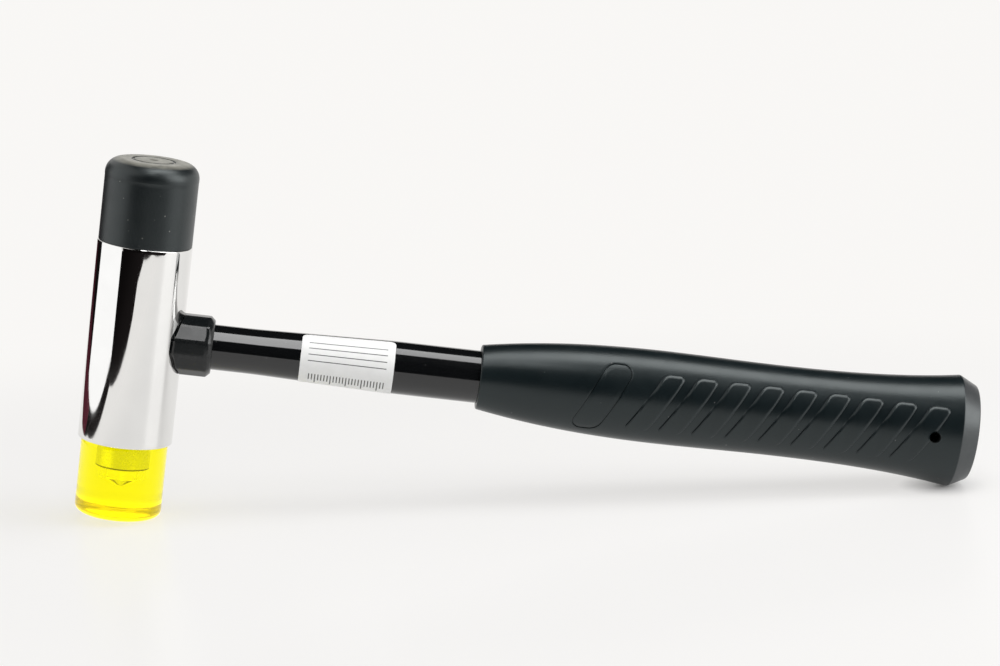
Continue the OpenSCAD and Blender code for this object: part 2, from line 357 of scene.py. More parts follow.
# Barrel: the half section goes from one drilled hole's point over the outside to the other's
def barrel():
    hole = STUD_IN_HEAD + HOLE_END_GAP
    tip = hole + drill_point(STUD_HOLE_R)
    top, bottom = BARREL_TOP, -BARREL_BOTTOM
    corners = [[top - tip, 0], [top - hole, STUD_HOLE_R], [top, STUD_HOLE_R], [top, BARREL_R],
               [bottom, BARREL_R], [bottom, STUD_HOLE_R], [bottom + hole, STUD_HOLE_R], [bottom + tip, 0]]
    path = rounded(corners, [0, 0, 0, BARREL_EDGE_R, BARREL_EDGE_R, 0, 0, 0], steps=5)
    piece = turned_piece("barrel", filled(path, 1.0), "head")
    eye = np.array([[-EYE_DEPTH, 0], [-EYE_DEPTH, EYE_R], [2 * BARREL_R, EYE_R], [2 * BARREL_R, 0]])
    cut_away(piece, *turned(*eye.T, "handle"))
    return piece


# Stud: a thread in the barrel's half, a plain turned end with a thin dark ring where its chamfer starts in the
# face's half
def stud(name, seat, outward):
    place = np.linspace(-STUD_IN_HEAD, STUD_IN_FACE, STUD_ROWS)
    phase = (place[:, None] / THREAD_PITCH + np.arange(COLUMNS) / COLUMNS) % 1
    flank = np.clip(FLANK_SLOPE * np.abs(2 * phase - 1) - (FLANK_SLOPE - 1) / 2, 0, 1)
    cut = smoothstep(-place, THREAD_STARTS, THREAD_FULL)[:, None]
    head_end = STUD_R - STUD_CHAMFER + place + STUD_IN_HEAD
    face_end = STUD_R - FACE_END_CHAMFER + STUD_IN_FACE - place
    chamfered = np.minimum(STUD_R, np.minimum(head_end, face_end))[:, None]
    radius = np.minimum(STUD_R - THREAD_DEPTH * cut * (1 - flank), chamfered)
    radius = np.pad(radius, [(1, 1), (0, 0)])
    place = np.pad(place, 1, mode="edge")
    # A thin dark ring where the face end's chamfer starts
    from_edge = np.abs(place - (STUD_IN_FACE - FACE_END_CHAMFER))
    ring_share = np.repeat(1 - smoothstep(from_edge, DARK_RING_FULL, DARK_RING_FROM), COLUMNS)
    return make_piece(name, *turned(seat + outward * place, radius, "head"), {"stained": ring_share})


# Black face: rubber round its bush, with a parting line, a rounded edge and a ring on the striking end
def black_face():
    half_ring = np.array([[0, RING_W / 2 + 1.5 * RING_EASE], [-RING_EASE, RING_W / 2],
                          [-RING_DEPTH, RING_W / 4]])
    ring = np.concatenate([half_ring, half_ring[::-1] * [1, -1]])
    parting = BLACK_L - BLACK_EDGE_R - PARTING_W
    striking_edge = rounded([[parting, BLACK_R], [BLACK_L, BLACK_R], [BLACK_L, RING_R]],
                            [0, BLACK_EDGE_R, 0], steps=20)
    path = np.concatenate([
        [[CORE_FLANGE_TO, 0], [CORE_FLANGE_TO, CORE_FLANGE_R], [CORE_FLANGE_FROM, CORE_FLANGE_R],
         [CORE_FLANGE_FROM, CORE_R], [0, CORE_R]],
        [0, BLACK_R] + BLACK_LIP,
        [[parting - PARTING_W, BLACK_R - PARTING_STEP], [parting - 0.6 * PARTING_W, BLACK_R]],
        striking_edge[:-1],
        [BLACK_L, RING_R] + ring,
        [BLACK_L, 0] + DIMPLE * [-1, 1]])
    path[:, 0] += BARREL_TOP
    return turned_piece("black_tip", filled(path, 1.2), "head")


# Yellow face: a clear block that grips its stud without a gap, with the drill's pilot hole beyond the stud
def yellow_face():
    pilot = STUD_IN_FACE + PILOT_L
    striking_edge = rounded([[0, YELLOW_R], [YELLOW_L, YELLOW_R], [YELLOW_L, 0]],
                            [0, YELLOW_EDGE_R, 0], steps=16)
    path = np.concatenate([
        [[pilot + drill_point(PILOT_R), 0], [pilot, PILOT_R], [STUD_IN_FACE, PILOT_R]],
        [[STUD_IN_FACE, STUD_R - FACE_END_CHAMFER - GRIPPED]],
        [[STUD_IN_FACE - FACE_END_CHAMFER, STUD_R - GRIPPED], [SEAT_GAP, STUD_R - GRIPPED]],
        [[SEAT_GAP, YELLOW_R - SEAT_EASE], [0.3 * SEAT_EASE, YELLOW_R - 0.3 * SEAT_EASE]],
        [[SEAT_EASE, YELLOW_R]],
        striking_edge[1:]])
    path[:, 0] = -BARREL_BOTTOM - path[:, 0]
    return turned_piece("yellow_tip", filled(path, 1.2), "head")


# Collar: a twelve-sided sleeve with eased corners, saddled onto the barrel and chamfered at its mouth
def collar():
    half = np.pi / COLLAR_SIDES
    flat_end = np.arctan((COLLAR_FLAT_R - COLLAR_CORNER_R) * np.tan(half) / COLLAR_FLAT_R)
    one_side = np.concatenate([np.linspace(-half, -flat_end, 5)[:-1],
                               np.linspace(-flat_end, flat_end, 7),
                               np.linspace(flat_end, half, 5)[1:-1]])
    from_flat = np.tile(one_side, COLLAR_SIDES)
    angle = from_flat + np.repeat(np.arange(COLLAR_SIDES) * 2 * half, len(one_side)) - COLLAR_TURN
    # On a flat the distance is flat / cos. On a corner it is where the ray leaves the corner's circle.
    to_corner = half - np.abs(from_flat)
    corner_centre = (COLLAR_FLAT_R - COLLAR_CORNER_R) / np.cos(half)
    inside = np.maximum(COLLAR_CORNER_R**2 - (corner_centre * np.sin(to_corner))**2, 0)
    on_corner = corner_centre * np.cos(to_corner) + np.sqrt(inside)
    outline = np.where(np.abs(from_flat) <= flat_end, COLLAR_FLAT_R / np.cos(from_flat), on_corner)

    def saddle_at(radius, ease=0.0):
        """Where a ring of the collar meets the barrel, or a larger cylinder with the same top."""
        return np.sqrt((BARREL_R + SADDLE_GAP + ease)**2 - (radius * np.sin(angle))**2) - ease

    bore, mouth, end = (np.full_like(outline, value) for value in (EYE_R, COLLAR_MOUTH_R, COLLAR_END))
    seat = outline - SADDLE_LIP
    saddle = saddle_at(outline, SADDLE_EASE)
    shoulder = COLLAR_END - (outline - COLLAR_MOUTH_R)
    ease = COLLAR_EASE
    share = np.linspace(0, 1, 9)[:, None]
    along = np.concatenate([[saddle_at(bore), saddle_at(seat), saddle],
                            saddle + ease + share * (shoulder - saddle - 2 * ease),
                            [shoulder + 0.5 * ease, end - ease, end - 0.3 * ease, end, end]])
    radius = np.concatenate([[bore, seat, outline - ease],
                             np.repeat(outline[None], len(share), axis=0),
                             [outline - 0.8 * ease, mouth + ease, mouth + 0.1 * ease, mouth - ease, bore]])
    corner = smoothstep(np.abs(from_flat), 0.8 * flat_end, half)
    rim = smoothstep(along, shoulder - 2 * ease, shoulder) * (radius > COLLAR_MOUTH_R - 0.5)
    faces = grid_faces(*along.shape, wrap_rows=True, wrap_columns=True)
    return make_piece("collar", round_handle(along, radius, angle), faces, {"worn": np.maximum(corner, rim)})


def tube_radius(x):
    """Straight taper between the slim neck and the full tube, with its two bends blended by arcs."""
    slope = (TUBE_R - TUBE_NECK_R) / (TAPER_END - TAPER_START)
    reach = SWAGE_BLEND_R * slope / 2

    def rise_past(bend):
        past = x - bend
        arc = np.clip(past + reach, 0, 2 * reach)**2 / (2 * SWAGE_BLEND_R)
        return arc + slope * np.maximum(past - reach, 0)

    return TUBE_NECK_R + rise_past(TAPER_START) - rise_past(TAPER_END)


# Tube: outside from the eye to the butt, inside back again, with rows closer together over the taper
def tube():
    x = np.concatenate([np.linspace(-EYE_DEPTH, TAPER_START - 4, 24),
                        np.linspace(TAPER_START - 3, TAPER_END + 4, 90),
                        np.linspace(TAPER_END + 6, TUBE_END, 60)])
    outside = np.stack([x, tube_radius(x)], -1)
    inside = np.stack([x, tube_radius(x) - TUBE_WALL], -1)[::-1]
    return turned_piece("tube", np.concatenate([outside, inside]), "handle", closed=True)


def outline_sides(width, height, slant, tight_r, wide_r, counts):
    """Leaning parallelogram with two sharp and two blunt rounded corners, as four runs of points: bottom,
    right, top and left. Each run goes from the middle of one corner's arc to the middle of the next, by
    arc length, closer together near the corners."""
    steps = 16
    crowding = 0.55
    lean = height / 2 / np.tan(slant)
    corners = [[-width / 2 - lean, -height / 2], [width / 2 - lean, -height / 2],
               [width / 2 + lean, height / 2], [-width / 2 + lean, height / 2]]
    dense = rounded(corners, [tight_r, wide_r, tight_r, wide_r], steps)
    dense = np.roll(dense, -steps // 2, axis=0)
    dense = np.concatenate([dense, dense[:1]])
    runs = []
    for side, count in enumerate(counts):
        run = dense[side * (steps + 1):(side + 1) * (steps + 1) + 1]
        length = np.concatenate([[0], np.cumsum(np.linalg.norm(np.diff(run, axis=0), axis=1))])
        even = np.linspace(0, 1, count + 1)
        share = (1 - crowding) * even + crowding * (1 - np.cos(np.pi * even)) / 2
        runs.append(np.stack([np.interp(share * length[-1], length, run[:, k]) for k in (0, 1)], -1))
    return runs


def coons(bottom, right, top, left):
    """Grid that fills four runs of points: the two blends across, less the blend of the corners."""
    u = np.linspace(0, 1, len(bottom))[None, :, None]
    v = np.linspace(0, 1, len(right))[:, None, None]
    lower, upper = bottom[None], top[::-1][None]
    near, far = left[::-1][:, None], right[:, None]
    across = (1 - v) * lower + v * upper + (1 - u) * near + u * far
    corner = ((1 - v) * ((1 - u) * bottom[0] + u * bottom[-1]) + v * ((1 - u) * left[0] + u * right[-1]))
    return across - corner


# Label: a sheet with rounded corners wrapped on the taper, an outer and an inner face joined round the edge
def label():
    length = LABEL_BACK - LABEL_FRONT
    girth = LABEL_ARC * TUBE_R
    sheet = coons(*outline_sides(length, girth, np.pi / 2, LABEL_CORNER_R, LABEL_CORNER_R,
                                 (LABEL_COLUMNS, LABEL_ROWS) * 2))
    place = 0.5 + sheet / [length, girth]
    x = LABEL_FRONT + length * place[..., 0]
    angle = LABEL_DROP + LABEL_ARC * place[..., 1]
    points, faces = joined([(round_handle(x, tube_radius(x) + lift, angle), grid_faces(*x.shape))
                            for lift in (LABEL_GAP, LABEL_GAP + LABEL_T)])
    number = np.arange(x.size).reshape(x.shape)
    edge = np.concatenate([number[0, :-1], number[:-1, -1], number[-1, :0:-1], number[:0:-1, 0]])
    after = np.roll(edge, -1)
    rim = np.stack([edge, after, after + x.size, edge + x.size], -1)
    sheet_place = np.tile(np.pad(place.reshape(-1, 2), [(0, 0), (0, 1)]), (2, 1))
    return make_piece("paper_label", points, np.concatenate([faces, rim]), {"sheet_place": sheet_place})


def cubic(x, start, stop):
    """Cubic between two knots of [place, height, slope] that keeps both slopes."""
    span = stop[0] - start[0]
    t = (x - start[0]) / span
    return ((2 * t**3 - 3 * t**2 + 1) * start[1] + (t**3 - 2 * t**2 + t) * span * start[2]
            + (3 * t**2 - 2 * t**3) * stop[1] + (t**3 - t**2) * span * stop[2])


def grip_height(x):
    """Half height of the grip: a belly, a waist and a flare, as cubics between four knots."""
    front = [GRIP_FRONT, FRONT_H, FRONT_SLOPE]
    belly = [BELLY, BELLY_H, 0]
    waist = [WAIST, WAIST_H, 0]
    pommel = [POMMEL, POMMEL_H, POMMEL_SLOPE]
    return np.where(x < BELLY, cubic(x, front, belly),
                    np.where(x < WAIST, cubic(x, belly, waist), cubic(x, waist, pommel)))


def grip_width(x):
    """Half width of the grip: a share of its height, blended into the round neck."""
    oval = GRIP_FLATNESS * grip_height(x)
    blend = 0.5
    return 0.5 * (oval + NECK_R + np.sqrt((oval - NECK_R)**2 + blend**2)) - 0.5 * blend


def on_grip(x, z, lift=0.0):
    """Point of the grip's near side at a place along it and a height, lifted off the oval by an amount."""
    height = grip_height(x) + lift
    width = grip_width(x) + lift
    y = -width * np.sqrt(np.clip(1 - (z / height)**2, 0, 1))
    return np.stack([x, y, z], -1)


def band_reach(c):
    """Half height of the side band that carries the pads."""
    return np.minimum(BAND_H, BAND_SHARE * grip_height(c))


def column_lean(c):
    """How far a column of the grip's grid leans along the handle for each millimetre of height. It follows
    the pads' slant along the pads and fades out towards both ends."""
    slant = 1 / np.tan(PAD_SLANT)
    window_end = LAST_PAD + PAD_PITCH / 2
    fade_out = np.clip((POMMEL - LIP_R - c) / (POMMEL - LIP_R - window_end), 0, 1)
    return slant * smoothstep(c, LEAN_STARTS, LEAN_FULL) * fade_out


def leaning(c, share):
    """Place and height of a point of the side band: columns lean, rows are shares of the band's height."""
    z = share * band_reach(c)
    return c + column_lean(c) * z, z


def skin_columns():
    """Columns of the grip's grid, and for the panel and each pad the two column numbers that its window lies
    between and its middle."""
    front = GRIP_FRONT + LIP_R
    back = POMMEL - LIP_R
    pads = LAST_PAD - PAD_PITCH * np.arange(PAD_COUNT - 1, -1, -1)
    spans = [(front, PANEL_X - PANEL_REACH, FRONT_COLUMNS),
             (PANEL_X - PANEL_REACH, PANEL_X + PANEL_REACH, PANEL_COLUMNS),
             (PANEL_X + PANEL_REACH, pads[0] - PAD_PITCH / 2, GAP_COLUMNS)]
    spans += [(pad - PAD_PITCH / 2, pad + PAD_PITCH / 2, PAD_COLUMNS) for pad in pads]
    spans.append((pads[-1] + PAD_PITCH / 2, back, BACK_COLUMNS))
    runs = [np.linspace(start, stop, count + 1)[:-1] for start, stop, count in spans]
    columns = np.concatenate(runs + [[back]])
    first = np.cumsum([0] + [count for start, stop, count in spans])
    panel_window = (first[1], first[2], PANEL_X)
    return columns, [panel_window, *zip(first[3:], first[4:], pads)]


# Growths of an outline, in the order of the rings that go over its edge from outside to inside
PAD_RINGS = [0.9, 0.5, 0.36, 0.27, 0.18, 0.12, 0.06, 0.0, -0.1, -0.22, -0.34, -0.48, -0.64, -0.82, -1.0]
PANEL_RINGS = [0.6, 0.1, 0.0, -GROOVE_WALL, GROOVE_WALL - GROOVE_W]
PANEL_RINGS += [-GROOVE_W - further for further in (0.0, 0.12, 0.5, GROOVE_SHOULDER)]


def pad_lift(growth, across, z):
    """Height of a pad over the grip. A steep wall takes it to half of its height and a parabola rounds
    the shoulder. The pad sinks into the grip towards its lower front corner, and a notch is cut along the
    lower half of its front edge. Across and z are counted from the pad's middle."""
    wall = smoothstep(-growth, -PAD_WALL, 0.0)
    shoulder = 1 - np.clip(1 + growth, 0, 1)**2
    from_front = across - z / np.tan(PAD_SLANT) + PAD_W / 2
    rise = smoothstep(z + 1.6 * from_front, 0.0, 0.4 * PAD_H)
    front_side = smoothstep(-from_front, -0.2 * PAD_W, -0.1 * PAD_W)
    lower_half = smoothstep(-z, -0.1 * PAD_H, 0.2 * PAD_H) * smoothstep(z, -0.48 * PAD_H, -0.38 * PAD_H)
    notch = np.interp(growth, [-0.48, 0.18, 0.36], [0, 1, 0])
    return PAD_RAISE * rise * (wall + shoulder) / 2 - NOTCH_DEPTH * front_side * lower_half * notch


def panel_lift(growth, across, z):
    """Height of the panel over the grip: a narrow groove, then a rounded shoulder back to the grip's level.
    It is the same all round the outline, so across isn't used and z only gives the result's shape."""
    inner_edge, outer_edge = 0.3, 0.1
    groove = np.interp(growth, [-GROOVE_W, GROOVE_WALL - GROOVE_W, -GROOVE_WALL, 0.0],
                       [inner_edge, 1, 1, outer_edge])
    shoulder = inner_edge * smoothstep(growth, -GROOVE_W - GROOVE_SHOULDER, -GROOVE_W)
    outside = growth > GROOVE_WALL
    return -GROOVE_DEPTH * np.where(growth < -GROOVE_W, shoulder, np.where(outside, 0, groove)) + 0 * z


def window_patch(columns, middle_x, size, growths, lift_at):
    """Fills one window of the side band. Rings go from the window's edge to the outline and over its edge,
    and a grid fills what is left inside."""
    width, height, slant, tight_r, wide_r = size
    share = np.linspace(-1, 1, BAND_ROWS + 1)
    rim_parts = [leaning(columns[:-1], -1.0), leaning(columns[-1:], share[:-1]),
                 leaning(columns[:0:-1], 1.0), leaning(columns[:1], share[:0:-1])]
    rim = np.concatenate([np.stack(part, -1) for part in rim_parts])
    counts = (len(columns) - 1, BAND_ROWS, len(columns) - 1, BAND_ROWS)

    def outline(growth):
        runs = outline_sides(width + 2 * growth / np.sin(slant), height + 2 * growth, slant,
                             max(tight_r + growth, 0.3), max(wide_r + growth, 0.3), counts)
        return [run + [middle_x, 0] for run in runs]

    def lifted(flat, growth):
        x, z = flat[..., 0], flat[..., 1]
        return on_grip(x, z, lift_at(growth, x - middle_x, z))

    rings = np.stack([np.concatenate([run[:-1] for run in outline(growth)]) for growth in growths])
    steps = np.array([0.0, 0.35, 0.7])[:, None, None]
    approach = rim + steps * (rings[0] - rim)
    flat = np.concatenate([approach, rings])
    growth = np.concatenate([np.full(len(steps), growths[0]), growths])[:, None]
    ring_points = lifted(flat, growth)
    inner = coons(*outline(growths[-1]))
    inner_points = lifted(inner, growths[-1])
    return joined([(ring_points.reshape(-1, 3), grid_faces(*flat.shape[:2], wrap_columns=True)),
                   (inner_points.reshape(-1, 3), grid_faces(*inner.shape[:2]))])


def grip_skin():
    """Near half of the grip's outside: leaning columns, and rows that follow the side band's height in the
    middle and the oval's angle above and below it. The windows of the pads and panel are left open."""
    columns, windows = skin_columns()
    share = np.linspace(-1, 1, BAND_ROWS + 1)[:, None]
    x, z = leaning(columns, share)
    band = on_grip(x, z)
    crown_parts = []
    for side in (-1, 1):
        edge_x, edge_z = leaning(columns, side)
        height, width = grip_height(edge_x), grip_width(edge_x)
        start = np.arcsin(edge_z / height)
        t = np.linspace(0, 1, CROWN_ROWS + 1)[1:, None]
        angle = start + t * (side * np.pi / 2 - start)
        edge_x = np.broadcast_to(edge_x, angle.shape)
        crown_parts.append(np.stack([edge_x, -width * np.cos(angle), height * np.sin(angle)], -1))
    skin = np.concatenate([crown_parts[0][::-1], band, crown_parts[1]])
    faces = grid_faces(*skin.shape[:2]).reshape(skin.shape[0] - 1, skin.shape[1] - 1, 4)
    kept = np.ones(faces.shape[:2], bool)
    for start, stop, middle_x in windows:
        kept[CROWN_ROWS:CROWN_ROWS + BAND_ROWS, start:stop] = False
    return skin, faces[kept], columns, windows


def grip_end(edge, path):
    """Carries an end ring of the skin along a path of [place, half height, half width]: each point keeps its
    angle on the oval."""
    angle = np.arctan2(edge[:, 2] / path[0, 1], -edge[:, 1] / path[0, 2])
    rings = np.stack([np.broadcast_to(path[:, :1], (len(path), len(angle))),
                      -path[:, 2:] * np.cos(angle), path[:, 1:2] * np.sin(angle)], -1)
    return rings.reshape(-1, 3), grid_faces(*rings.shape[:2])


def grip():
    skin, skin_faces, columns, windows = grip_skin()
    parts = [(skin.reshape(-1, 3), skin_faces)]
    panel = (PANEL_W, PANEL_H, PANEL_SLANT, PANEL_TIGHT_R, PANEL_WIDE_R), PANEL_RINGS, panel_lift
    pad = (PAD_W, PAD_H, PAD_SLANT, PAD_TIGHT_R, PAD_WIDE_R), PAD_RINGS, pad_lift
    for (start, stop, middle_x), form in zip(windows, [panel] + PAD_COUNT * [pad]):
        parts.append(window_patch(columns[start:stop + 1], middle_x, *form))

    # Front: a rounded lip, then the bore for the tube
    lip = np.linspace(0, np.pi / 2, 7)
    front_h, front_w = grip_height(columns[0]), grip_width(columns[0])
    lip_in = LIP_R * (1 - np.cos(lip))
    lip_path = np.stack([columns[0] - LIP_R * np.sin(lip), front_h - lip_in, front_w - lip_in], -1)
    bore = np.array([[GRIP_FRONT, BORE_R + BORE_EASE], [GRIP_FRONT + BORE_EASE, BORE_R],
                     [BORE_END, BORE_R], [BORE_END, 0]])
    parts.append(grip_end(skin[:, 0], np.concatenate([lip_path, bore[:, [0, 1, 1]]])))

    # Back: the pommel's edge, the bevel and the butt, each turn of the outline rounded
    last_h = grip_height(columns[-1])
    turn_path = rounded([[columns[-1], last_h], [POMMEL, POMMEL_H], [BUTT, BUTT_H], [BUTT, 0]],
                        [0, POMMEL_CORNER_R, BUTT_CORNER_R, 0], steps=7)
    turn_path = filled(turn_path, 2.0)
    width = turn_path[:, 1:] * grip_width(columns[-1]) / last_h
    parts.append(grip_end(skin[:, -1], np.concatenate([turn_path, width], -1)))

    points, faces = joined(parts)
    mirrored = points * [1, -1, 1]
    piece = make_piece("grip_moulding", *joined([(points, faces), (mirrored, faces)]))

    # The hang hole goes right through. Its cutter flares from just under the surface to ease the edges.
    under = grip_width(HANG_X) - HANG_EASE
    far = 30
    flare_r = HANG_R + far - under
    half = np.array([[under, HANG_R], [far, flare_r], [far, 0]])
    cutter = np.concatenate([half[::-1] * [-1, 1], half])
    hole, hole_faces = turned(*cutter.T, "head", columns=48)
    cut_away(piece, hole[:, [0, 2, 1]] + [HANG_X, 0, 0], hole_faces)
    return piece


# Nodes of the finishes
def add(tree, kind, inputs=None, **settings):
    """New shader node with its settings, and inputs given as values or as other nodes' sockets."""
    node = tree.nodes.new("ShaderNode" + kind)
    for setting, value in settings.items():
        setattr(node, setting, value)
    for socket, value in (inputs or {}).items():
        if isinstance(value, bpy.types.NodeSocket):
            tree.links.new(value, node.inputs[socket])
        else:
            node.inputs[socket].default_value = value
    return node


def math(tree, operation, *values):
    return add(tree, "Math", dict(enumerate(values)), operation=operation).outputs[0]


def product(tree, first, *others):
    for other in others:
        first = math(tree, "MULTIPLY", first, other)
    return first


def largest(tree, first, *others):
    for other in others:
        first = math(tree, "MAXIMUM", first, other)
    return first


def vector(tree, operation, *values):
    """Vector math. A dot product, length or distance comes out as a value."""
    node = add(tree, "VectorMath", dict(enumerate(values)), operation=operation)
    return node.outputs["Value" if operation in ("DOT_PRODUCT", "LENGTH", "DISTANCE") else "Vector"]


def ramp(tree, value, start, stop, low=0.0, high=1.0, kind="LINEAR"):
    """Low where the value is at start, high where it is at stop."""
    limits = {"Value": value, "From Min": start, "From Max": stop, "To Min": low, "To Max": high}
    return add(tree, "MapRange", limits, interpolation_type=kind).outputs[0]


def blend(tree, share, *colours):
    """Colour between two colours by a share. A colour is three values or another node's socket."""
    low, high = (colour if isinstance(colour, bpy.types.NodeSocket) else (*colour, 1) for colour in colours)
    return add(tree, "Mix", {0: share, 6: low, 7: high}, data_type="RGBA").outputs[2]


def new_group(name, values, output):
    """Empty shader group that takes a place and named values and gives one value."""
    group = bpy.data.node_groups.new(name, "ShaderNodeTree")
    group.interface.new_socket("Place", in_out="INPUT", socket_type="NodeSocketVector")
    for value in values:
        group.interface.new_socket(value, in_out="INPUT", socket_type="NodeSocketFloat")
    group.interface.new_socket(output, in_out="OUTPUT", socket_type="NodeSocketFloat")
    return group, group.nodes.new("NodeGroupInput").outputs, group.nodes.new("NodeGroupOutput").inputs[output]


def texture(group, kind, given, **inputs):
    """Texture at the place and scale that the group is given."""
    return add(group, kind, {"Vector": given["Place"], "Scale": given["Scale"], **inputs}).outputs


def patchy_group():
    """Slow change between two values, as handling and polish leave on a surface."""
    group, given, result = new_group("patchy", ["Scale", "Low", "High"], "Value")
    noise = texture(group, "TexNoise", given, Detail=4.0)
    group.links.new(ramp(group, noise[0], 0.3, 0.7, given["Low"], given["High"]), result)
    return group


def grain_group():
    """Fine moulded grain as a height: small cells broken up by finer noise."""
    group, given, result = new_group("fine_grain", ["Scale"], "Height")
    noise = texture(group, "TexNoise", given, Detail=3.0, Roughness=0.6)
    cells = texture(group, "TexVoronoi", given)
    group.links.new(math(group, "MULTIPLY_ADD", cells["Distance"], 0.5, noise[0]), result)
    return group


def specks_group():
    """Scattered specks of dust: the middles of some cells, chosen by the cells' own random values."""
    group, given, result = new_group("dust_specks", ["Scale", "Size", "Share"], "Mask")
    cells = texture(group, "TexVoronoi", given)
    pick = add(group, "SeparateColor", {"Color": cells["Color"]}).outputs
    chosen = math(group, "LESS_THAN", pick[0], given["Share"])
    near = math(group, "LESS_THAN", cells["Distance"], product(group, given["Size"], pick[1]))
    group.links.new(product(group, chosen, near), result)
    return group


PATCHY = patchy_group()
GRAIN = grain_group()
SPECKS = specks_group()


def object_place(tree):
    return add(tree, "TexCoord").outputs["Object"]


def place_group(tree, group, **inputs):
    """The group in a material, reading the piece's own Object coordinates."""
    return add(tree, "Group", {"Place": object_place(tree), **inputs}, node_tree=group).outputs[0]


def patchy(tree, scale, low=0.0, high=1.0):
    return place_group(tree, PATCHY, Scale=scale, Low=low, High=high)


def principled(tree):
    return tree.nodes["Principled BSDF"]


def new_finish(name, **sockets):
    """Material with one Principled shader. Plain values go straight onto the shader's sockets."""
    material = bpy.data.materials.new(name)
    material.use_nodes = True
    for socket, value in sockets.items():
        principled(material.node_tree).inputs[socket.replace("_", " ")].default_value = value
    return material, material.node_tree


def marked(tree, mark):
    """Value of a mark that is kept on the piece's points."""
    return add(tree, "Attribute", attribute_name=mark).outputs["Fac"]


def cover(material, colour, roughness, grain=None, depth=0.0):
    """The material with its colour and roughness, and with fine grain of a scale and of a depth in metres."""
    tree = material.node_tree
    sockets = principled(tree).inputs
    tree.links.new(colour, sockets["Base Color"])
    tree.links.new(roughness, sockets["Roughness"])
    if grain:
        height = place_group(tree, GRAIN, Scale=grain)
        bump = add(tree, "Bump", {"Height": height, "Distance": depth, "Strength": 1.0})
        tree.links.new(bump.outputs[0], sockets["Normal"])
    return material


def show_mix(tree, share, other):
    """Shows another shader in the place of the Principled one, by a share."""
    shaders = {0: share, 1: principled(tree).outputs[0], 2: other.outputs[0]}
    mix = add(tree, "MixShader", shaders)
    tree.links.new(mix.outputs[0], tree.nodes["Material Output"].inputs["Surface"])


# Tint of the shine on the black rubber, and colours of the light in the clear yellow
COOL = (0.92, 1.0, 1.0, 1)
YELLOW_LIGHT = (1.0, 0.95, 0.3, 1)
YELLOW_SHADOW = (0.97, 0.90, 0.25, 1)


def chrome_finish():
    material, tree = new_finish("bright_chrome", Metallic=1.0)
    haze = blend(tree, patchy(tree, 90.0), (0.80, 0.797, 0.785), (0.83, 0.827, 0.815))
    return cover(material, haze, patchy(tree, 60.0, 0.02, 0.05))


def paint_finish():
    material, tree = new_finish("gloss_black_paint", Coat_Weight=0.4, Coat_Roughness=0.03, IOR=1.5)
    dust = place_group(tree, SPECKS, Scale=900.0, Size=0.22, Share=0.04)
    paint = blend(tree, dust, (0.004, 0.0045, 0.005), (0.06, 0.06, 0.06))
    return cover(material, paint, patchy(tree, 70.0, 0.07, 0.13), grain=420.0, depth=0.000004)


def satin_finish():
    material, tree = new_finish("satin_black", IOR=1.5, Specular_IOR_Level=0.38)
    rubbed = product(tree, marked(tree, "worn"), patchy(tree, 900.0), 0.6)
    satin = blend(tree, rubbed, (0.006, 0.0075, 0.008), (0.03, 0.03, 0.03))
    return cover(material, satin, patchy(tree, 200.0, 0.13, 0.18), grain=1500.0, depth=0.000004)


def grip_finish():
    """Rubber with a painted highlight, a lighter grey on the pommel's bevel and butt for the light they catch from
    the right, and painted shade inside the hang hole, where it is near black and fully rough.
    """
    material, tree = new_finish("grip_rubber", IOR=1.5, Specular_Tint=COOL)
    rubber = blend(tree, patchy(tree, 45.0), (0.0030, 0.0066, 0.0080), (0.0045, 0.0088, 0.0104))
    from_hole = vector(tree, "SUBTRACT", object_place(tree), HANG_PLACE.tolist())
    along = vector(tree, "DOT_PRODUCT", from_hole, HANDLE_AXIS.tolist())
    ridge = (POMMEL - HANG_X) * MM
    soft = 0.2 * MM
    # Painted highlight: past the pommel's ridge the bevel and butt get a lighter grey for the light they catch
    bevel = product(tree, ramp(tree, along, ridge - soft, ridge + soft), patchy(tree, 300.0, 0.8, 1.0))
    lightened = blend(tree, bevel, rubber, (0.052, 0.054, 0.056))
    # Painted shade: inside the hang hole the colour is made near black
    from_axis = vector(tree, "LENGTH", vector(tree, "MULTIPLY", from_hole, (1.0, 0.0, 1.0)))
    in_hole = math(tree, "LESS_THAN", from_axis, (HANG_R + 0.06) * MM)
    hole_shaded = blend(tree, in_hole, lightened, (0.0008, 0.0008, 0.0008))
    dust = place_group(tree, SPECKS, Scale=700.0, Size=0.2, Share=0.03)
    dusty = blend(tree, dust, hole_shaded, (0.10, 0.10, 0.10))
    sheen = largest(tree, patchy(tree, 120.0, 0.28, 0.34), in_hole)
    return cover(material, dusty, sheen, grain=2400.0, depth=0.000014)


def face_finish():
    """Rubber with specks of dust, and a patchy warm grey where the surface faces up along the head's axis, most on
    the striking end.
    """
    material, tree = new_finish("face_rubber", IOR=1.5, Specular_IOR_Level=0.68, Specular_Tint=COOL)
    rubber = blend(tree, patchy(tree, 80.0), (0.0022, 0.0044, 0.0056), (0.0036, 0.0066, 0.0078))
    normal = add(tree, "TexCoord").outputs["Normal"]
    # A patchy warm grey on faces turned up along the head's axis
    faces_up = ramp(tree, vector(tree, "DOT_PRODUCT", normal, HEAD_AXIS.tolist()), 0.8, 1.0, high=0.9)
    lightened = product(tree, faces_up, patchy(tree, 420.0, 0.55, 1.0))
    top_greyed = blend(tree, lightened, rubber, (0.38, 0.37, 0.32))
    dust = place_group(tree, SPECKS, Scale=900.0, Size=0.24, Share=0.04)
    dusty = blend(tree, dust, top_greyed, (0.14, 0.14, 0.13))
    return cover(material, dusty, patchy(tree, 150.0, 0.35, 0.42), grain=1500.0, depth=0.000012)


